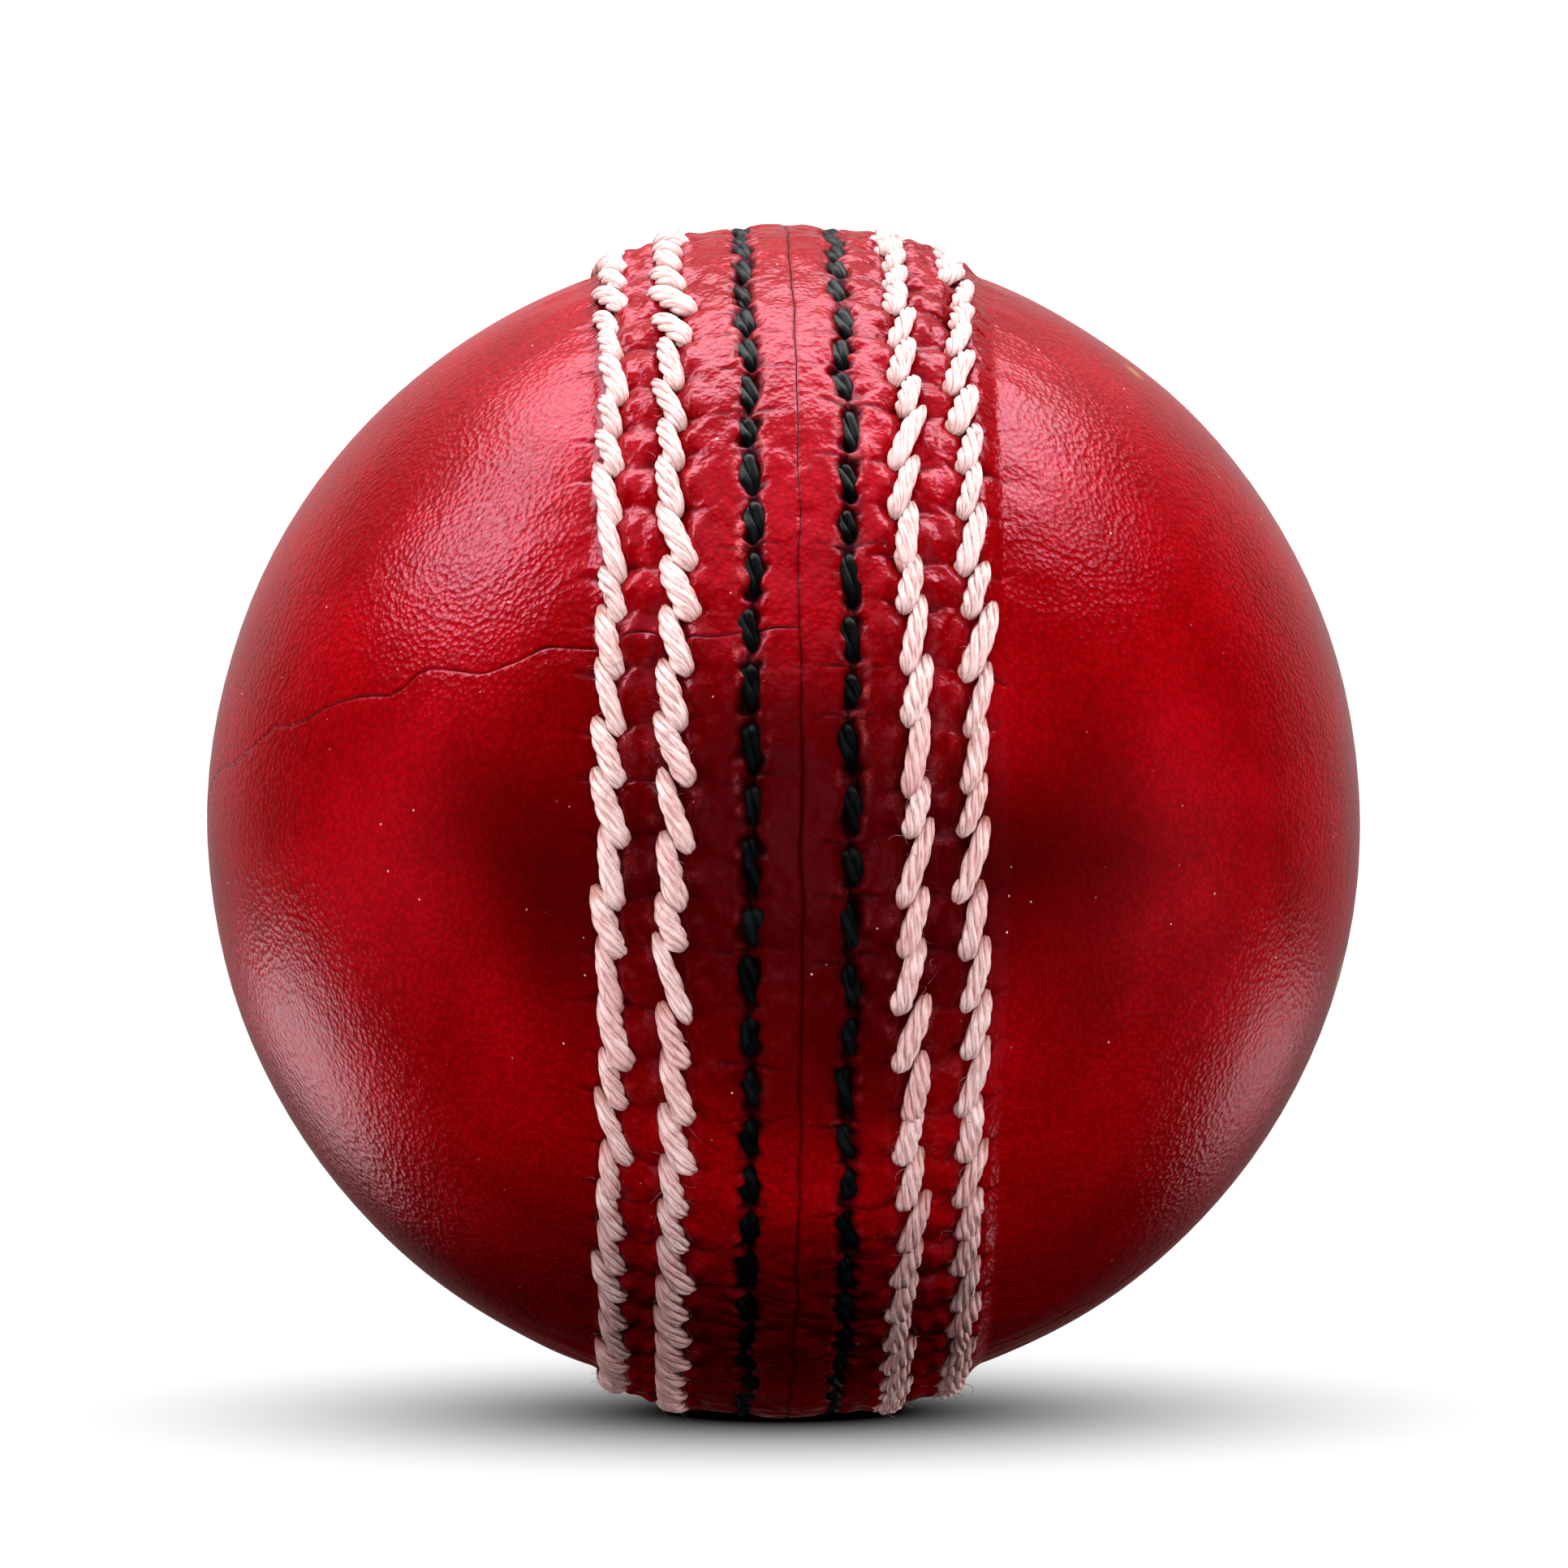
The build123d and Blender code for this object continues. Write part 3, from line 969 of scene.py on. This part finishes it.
@dataclass
class ThreadRow:
    """One piece of thread as it shows on the leather."""

    name: str
    rows: list[StitchRow]
    plan: SeamPlan
    shape: ThreadShape
    lean: float
    lift: float
    head_down: bool
    fibre_count: int
    seed: int
    variants: int = 6

    def shelve(self, label: str, shapes: list[bpy.types.Object]) -> bpy.types.Collection:
        """Gathers shapes in a collection of their own."""
        shelf = bpy.data.collections.new(f"{self.name}_{label}")
        bpy.context.scene.collection.children.link(shelf)
        for shape in shapes:
            shelf.objects.link(shape)
        return shelf

    def points(self) -> list[LaidPoint]:
        """Lays out the row's stitches from hole to hole, and its stray fibres."""
        rng = np.random.default_rng(self.seed)
        points = []
        for row in self.rows:
            ends = row.around()
            for index in range(STITCH_COUNT):
                low, high = ends[index], ends[index + 1]
                angle, span = (low + high) / 2, (high - low) / PITCH
                lateral = float(row.lateral(np.array(angle))) + rng.normal(0, 0.08)
                rise = float(self.plan.crown(np.array(lateral))) + self.lift + rng.normal(0, 0.03)
                place = self.plan.place(row.side, lateral, angle, rise)
                mirrored = self.head_down and row.side is Side.RIGHT
                lean = (-self.lean if mirrored else self.lean) + rng.normal(0, 0.08)
                flip = Matrix.Identity(4) if self.head_down else Matrix.Rotation(math.pi, 4, "Z")
                place = place @ Matrix.Rotation(lean, 4, "Z") @ flip
                width = rng.uniform(0.86, 1.12) * (1.0 if row.side is Side.LEFT else 0.93)
                size = (width, span, rng.uniform(0.94, 1.06))
                # Painted shade: the lower a stitch sits round the ball, the more it turns from the
                # crest to the tint.
                shade_below = 0.35 - 0.35 * math.sin(angle) + rng.normal(0, 0.13)
                points.append(LaidPoint(place, 0, int(rng.integers(self.variants)), size, shade_below))
        for _ in range(self.fibre_count):
            row = self.rows[int(rng.integers(len(self.rows)))]
            angle = rng.uniform(0, TAU)
            lateral = float(row.lateral(np.array(angle))) + rng.normal(0, 0.45)
            rise = float(self.plan.crown(np.array(lateral))) + self.lift
            rise += self.shape.radius * rng.uniform(0.0, 0.75)
            place = self.plan.place(row.side, lateral, angle, rise)
            place = place @ Matrix.Rotation(rng.uniform(0, TAU), 4, "Z")
            place = place @ Matrix.Rotation(rng.uniform(-0.5, 0.3), 4, "X")
            points.append(LaidPoint(place, 1, int(rng.integers(self.variants)), (1.0, 1.0, 1.0), 0.2))
        return points

    def build(self, tree: LayingTree, material: bpy.types.Material) -> bpy.types.Object:
        """Lays the row and turns it into a plain mesh.

        Args:
            tree: the laying tree.
            material: the thread's finish.

        Returns:
            The new object, at the origin.
        """
        stitches = self.shelve(
            "stitches",
            [self.shape.build(f"{self.name}_stitch_{i}", self.seed + i) for i in range(self.variants)],
        )
        fibres = self.shelve(
            "fibres",
            [
                Fibre(0.5 + 0.16 * i).build(f"{self.name}_fibre_{i}", self.seed + 50 + i)
                for i in range(self.variants)
            ],
        )
        base = write_points(f"{self.name}_points", self.points())
        bpy.context.scene.collection.objects.link(base)
        modifier = base.modifiers.new("lay", "NODES")
        modifier.node_group = tree.group
        for name, value in (("Stitches", stitches), ("Fibres", fibres), ("Material", material)):
            modifier[tree.inputs[name]] = value
        depsgraph = bpy.context.evaluated_depsgraph_get()
        mesh = bpy.data.meshes.new_from_object(base.evaluated_get(depsgraph))
        mesh.name = self.name
        base.modifiers.clear()
        for shelf in (stitches, fibres):
            for shape in list(shelf.objects):
                bpy.data.objects.remove(shape)
            bpy.data.collections.remove(shelf)
        bpy.data.objects.remove(base)
        for attribute in ("kind", "variant", "turn", "size", "cell"):
            if attribute in mesh.attributes:
                mesh.attributes.remove(mesh.attributes[attribute])
        return bpy.data.objects.new(self.name, mesh)


def adopt(piece: bpy.types.Object, slot: str, *nodes: str) -> None:
    """Puts a finished piece in the scene on the ball's one body, in place of its CAD nodes."""
    bpy.context.scene.collection.objects.link(piece)
    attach(piece, "root")
    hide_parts(*nodes)
    log.info("%s: %d faces", piece.name, len(piece.data.polygons))


@dataclass
class Cover:
    """The leather cover: four quarters on one plan."""

    plan: SeamPlan
    finish: PolishedLeather = PolishedLeather()
    quarters: tuple[tuple[str, Side, float], ...] = (
        ("cover_left_upper", Side.LEFT, LEFT_SEAM_ANGLE),
        ("cover_left_lower", Side.LEFT, LEFT_SEAM_ANGLE + TAU / 2),
        ("cover_right_back", Side.RIGHT, RIGHT_SEAM_ANGLE),
        ("cover_right_front", Side.RIGHT, RIGHT_SEAM_ANGLE + TAU / 2),
    )

    def build(self) -> None:
        """Builds and dresses the quarters."""
        leather = self.finish.material()
        for name, side, start in self.quarters:
            piece = LeatherQuarter(name, side, start, self.plan).build()
            piece.data.materials.append(leather)
            adopt(piece, "cover", name)


@dataclass
class SeamThreads:
    """The four rows of pale twine and the dark closing thread."""

    plan: SeamPlan
    # The crest is the twine's colour at the top of the ball; the darker, pinker tint is painted shade
    # lower down.
    pale: TwistedThread = TwistedThread(
        "pale_twine",
        crest=(0.75, 0.59, 0.58, 1),
        tint=(0.66, 0.42, 0.41, 1),
        dirt_and_shade=(0.30, 0.09, 0.07, 1),
        roughness=0.78,
        strand_depth=0.12,
    )
    dark: TwistedThread = TwistedThread(
        "dark_thread",
        crest=(0.003, 0.004, 0.004, 1),
        tint=(0.016, 0.018, 0.021, 1),
        dirt_and_shade=(0.001, 0.001, 0.001, 1),
        roughness=0.40,
        strand_depth=0.04,
    )

    def build(self) -> None:
        """Builds and dresses every row."""
        tree = LayingTree()
        pitch = PITCH * BALL_RADIUS
        twine = ThreadShape(
            length=pitch * 1.46, radius=0.68, plies=5, twist=5.0, dive=0.42, tail_share=0.72
        )
        closing = ThreadShape(
            length=pitch * 0.90, radius=0.66, plies=3, twist=1.6, dive=0.30, tail_share=0.80,
            spread=0.46,
        )
        pale, dark = self.pale.material(), self.dark.material()
        for side in Side:
            for place in ("inner", "outer"):
                name = f"twine_{side.name.lower()}_{place}"
                row = self.plan.rows[side, place]
                laid = ThreadRow(
                    f"pale_{name}", [row], self.plan, twine,
                    lean=0.275, lift=0.02, head_down=True, fibre_count=170, seed=100 + row.seed,
                )
                adopt(laid.build(tree, pale), "twine", name)
        rows = [self.plan.rows[side, "closing"] for side in Side]
        laid = ThreadRow(
            "dark_closing_thread", rows, self.plan, closing,
            lean=0.20, lift=-0.56, head_down=False, fibre_count=60, seed=200,
        )
        adopt(laid.build(tree, dark), "closing_thread", "closing_thread")


@dataclass
class Core:
    """The sealed inner pieces, which keep their CAD shapes."""

    finishes: dict[str, HiddenFinish] = field(
        default_factory=lambda: {
            "nucleus": HiddenFinish("cork_rubber", (0.26, 0.15, 0.09, 1), (0.06, 0.04, 0.03, 1), 1.2),
            "cork_cup": HiddenFinish("pressed_cork", (0.52, 0.33, 0.18, 1), (0.24, 0.13, 0.07, 1), 1.6),
            "yarn_winding": HiddenFinish(
                "worsted_yarn", (0.66, 0.58, 0.45, 1), (0.42, 0.34, 0.24, 1), 0.9, (1.0, 0.15, 1.0)
            ),
            "lining": HiddenFinish("split_leather", (0.52, 0.40, 0.27, 1), (0.36, 0.25, 0.16, 1), 0.5),
            "blind_stitches": HiddenFinish(
                "waxed_linen", (0.74, 0.66, 0.52, 1), (0.52, 0.42, 0.30, 1), 0.2, (1.0, 1.0, 0.3)
            ),
        }
    )

    def dress(self) -> None:
        """Gives every inner node the finish that its name asks for."""
        materials = {name: finish.material() for name, finish in self.finishes.items()}
        for name, node in frame["nodes"].items():
            for start, material in materials.items():
                if name.startswith(start):
                    node.data.materials.clear()
                    node.data.materials.append(material)
                    log.info("%s: %s", name, material.name)


@dataclass
class Softbox:
    """One rectangular light, aimed at the ball."""

    name: str
    place: Triple
    width: float
    height: float
    power: float
    reflected: bool = True

    def build(self) -> None:
        """Adds the light; one that isn't reflected only fills the shadows."""
        lamp = bpy.data.lights.new(self.name, "AREA")
        lamp.shape = "RECTANGLE"
        lamp.size, lamp.size_y, lamp.energy = self.width, self.height, self.power
        light = bpy.data.objects.new(self.name, lamp)
        light.location = self.place
        light.visible_glossy = self.reflected
        light.rotation_euler = Vector(self.place).to_track_quat("Z", "Y").to_euler()
        bpy.context.scene.collection.objects.link(light)


@dataclass
class Studio:
    """A glowing white table, softboxes and fills round the ball, a foot card and the camera."""

    distance: float = 0.4177
    elevation: float = math.radians(4.0)
    azimuth: float = math.radians(-1.55)
    lens: float = 155.6
    shift: float = 0.0238
    floor_size: float = 6.0
    wall_glow: float = 0.46
    table_glow: float = 0.72
    shadow_stretch: Triple = (1.0, 1.7, 1.0)
    shadow_core: float = 7.0
    shadow_reach: float = 50.0
    shadow_power: float = 0.5
    flag_size: Triple = (60.0, -22.0, -36.6)
    flag_distance: float = 39.0
    boxes: tuple[Softbox, ...] = (
        Softbox("left_box", (-0.455, -0.01, 0.42), 0.20, 0.22, 1.25),
        Softbox("right_box", (0.355, -0.01, 0.49), 0.10, 0.28, 0.65),
        Softbox("top_box", (0.0, 0.17, 0.58), 0.90, 0.32, 5.0),
        Softbox("near_box", (0.0, -0.30, 0.52), 0.70, 0.45, 0.75),
        Softbox("low_left_box", (-0.62, 0.48, -0.34), 0.45, 0.30, 0.85),
        Softbox("low_right_box", (0.62, 0.48, -0.34), 0.40, 0.25, 0.38),
        Softbox("left_fill", (-0.80, -0.12, -0.10), 0.50, 0.50, 2.5, False),
        Softbox("right_fill", (0.80, -0.12, -0.10), 0.50, 0.50, 3.1, False),
        Softbox("front_fill", (0.0, -0.75, 0.0), 0.50, 0.50, 4.4, False),
        Softbox("top_fill", (0.0, -0.10, 0.80), 0.50, 0.50, 1.9, False),
    )

    def camera(self) -> None:
        """Adds the camera."""
        lens = bpy.data.cameras.new("camera")
        lens.lens, lens.sensor_width, lens.shift_y = self.lens, 36.0, self.shift
        lens.clip_start = 0.01
        camera = bpy.data.objects.new("camera", lens)
        level = self.distance * math.cos(self.elevation)
        camera.location = (
            level * math.sin(self.azimuth),
            -level * math.cos(self.azimuth),
            self.distance * math.sin(self.elevation),
        )
        camera.rotation_euler = camera.location.to_track_quat("Z", "Y").to_euler()
        bpy.context.scene.collection.objects.link(camera)
        bpy.context.scene.camera = camera

    def card(
        self, name: str, corners: list[Triple], material: bpy.types.Material
    ) -> bpy.types.Object:
        """Adds a flat four-cornered piece, and returns it."""
        mesh = bpy.data.meshes.new(name)
        mesh.from_pydata(corners, [], [(0, 1, 2, 3)])
        mesh.materials.append(material)
        piece = bpy.data.objects.new(name, mesh)
        bpy.context.scene.collection.objects.link(piece)
        return piece

    def floor(self) -> None:
        """Adds the table, whose glow fades to a painted shadow where the ball stands."""
        half = self.floor_size / 2
        level = -CROWN_RADIUS * MM
        corners = [(x * half, y * half, level) for x, y in ((-1, -1), (1, -1), (1, 1), (-1, 1))]
        paint = Painter("white_table")
        centred = {"Vector": paint.coordinates(), "Location": (0.0, 0.0, -level)}
        around = paint.add("ShaderNodeMapping", None, {**centred, "Scale": self.shadow_stretch})
        away = paint.add("ShaderNodeVectorMath", {"operation": "LENGTH"}, {0: around}, "Value")
        fade = away.step(self.shadow_core * MM, self.shadow_reach * MM) ** self.shadow_power
        bright = fade * self.table_glow
        paint.finish(base_color=(0, 0, 0, 1), specular_ior_level=0.0)
        paint.feed(paint.shader.inputs["Emission Color"], paint.mix(bright, (0, 0, 0, 1), (1, 1, 1, 1)))
        paint.feed(paint.shader.inputs["Emission Strength"], 1.0)
        table = self.card("table", corners, paint.material)
        # The table neither lights the ball nor shades it: the low boxes and the side fills stand
        # below its level and shine through it.
        table.visible_diffuse = table.visible_glossy = table.visible_shadow = False

    def flag(self) -> None:
        """Adds the low card that keeps the front light off the foot of the ball."""
        half, top, foot = (size * MM for size in self.flag_size)
        corners = [(-half, 0, foot), (half, 0, foot), (half, 0, top), (-half, 0, top)]
        paint = Painter("black_card")
        paint.finish(base_color=(0, 0, 0, 1), roughness=1.0, specular_ior_level=0.0)
        card = self.card("flag", corners, paint.material)
        card.location.y = -self.flag_distance * MM
        card.visible_camera = card.visible_diffuse = card.visible_glossy = False

    def tent(self) -> None:
        """Lights the world: white to the camera, and to the ball dim in front and bright behind."""
        world = bpy.data.worlds.new("tent")
        bpy.context.scene.world = world
        world.use_nodes = True
        board = NodeBoard(world.node_tree)
        board.nodes.clear()
        place = board.add("ShaderNodeTexCoord", output="Generated")
        back = board.add("ShaderNodeSeparateXYZ", None, {"Vector": place}, "Y")
        up = board.add("ShaderNodeSeparateXYZ", None, {"Vector": place}, "Z")
        glow = back.step(0.30, 0.90) * up.step(-0.60, 0.20) * self.wall_glow
        white = (1.0, 1.0, 1.0, 1.0)
        lit = board.add("ShaderNodeBackground", None, {"Color": white, "Strength": glow})
        seen = board.add("ShaderNodeBackground", None, {"Color": white, "Strength": 1.0})
        camera_ray = board.add("ShaderNodeLightPath", output="Is Camera Ray")
        board.put("ShaderNodeOutputWorld", None, {"Surface": board.combine(camera_ray, lit, seen)})

    def build(self) -> None:
        """Sets up the whole studio."""
        bpy.context.scene.view_settings.view_transform = "Standard"
        bpy.context.scene.view_settings.look = "High Contrast"
        self.camera()
        self.floor()
        self.flag()
        self.tent()
        for box in self.boxes:
            box.build()


def main() -> None:
    """Builds the ball from the leather out, then its core and the studio."""
    logging.basicConfig(level=logging.INFO, format="%(name)s: %(message)s")
    plan = SeamPlan()
    Cover(plan).build()
    SeamThreads(plan).build()
    Core().dress()
    Studio().build()


if __name__ == "__main__":
    main()
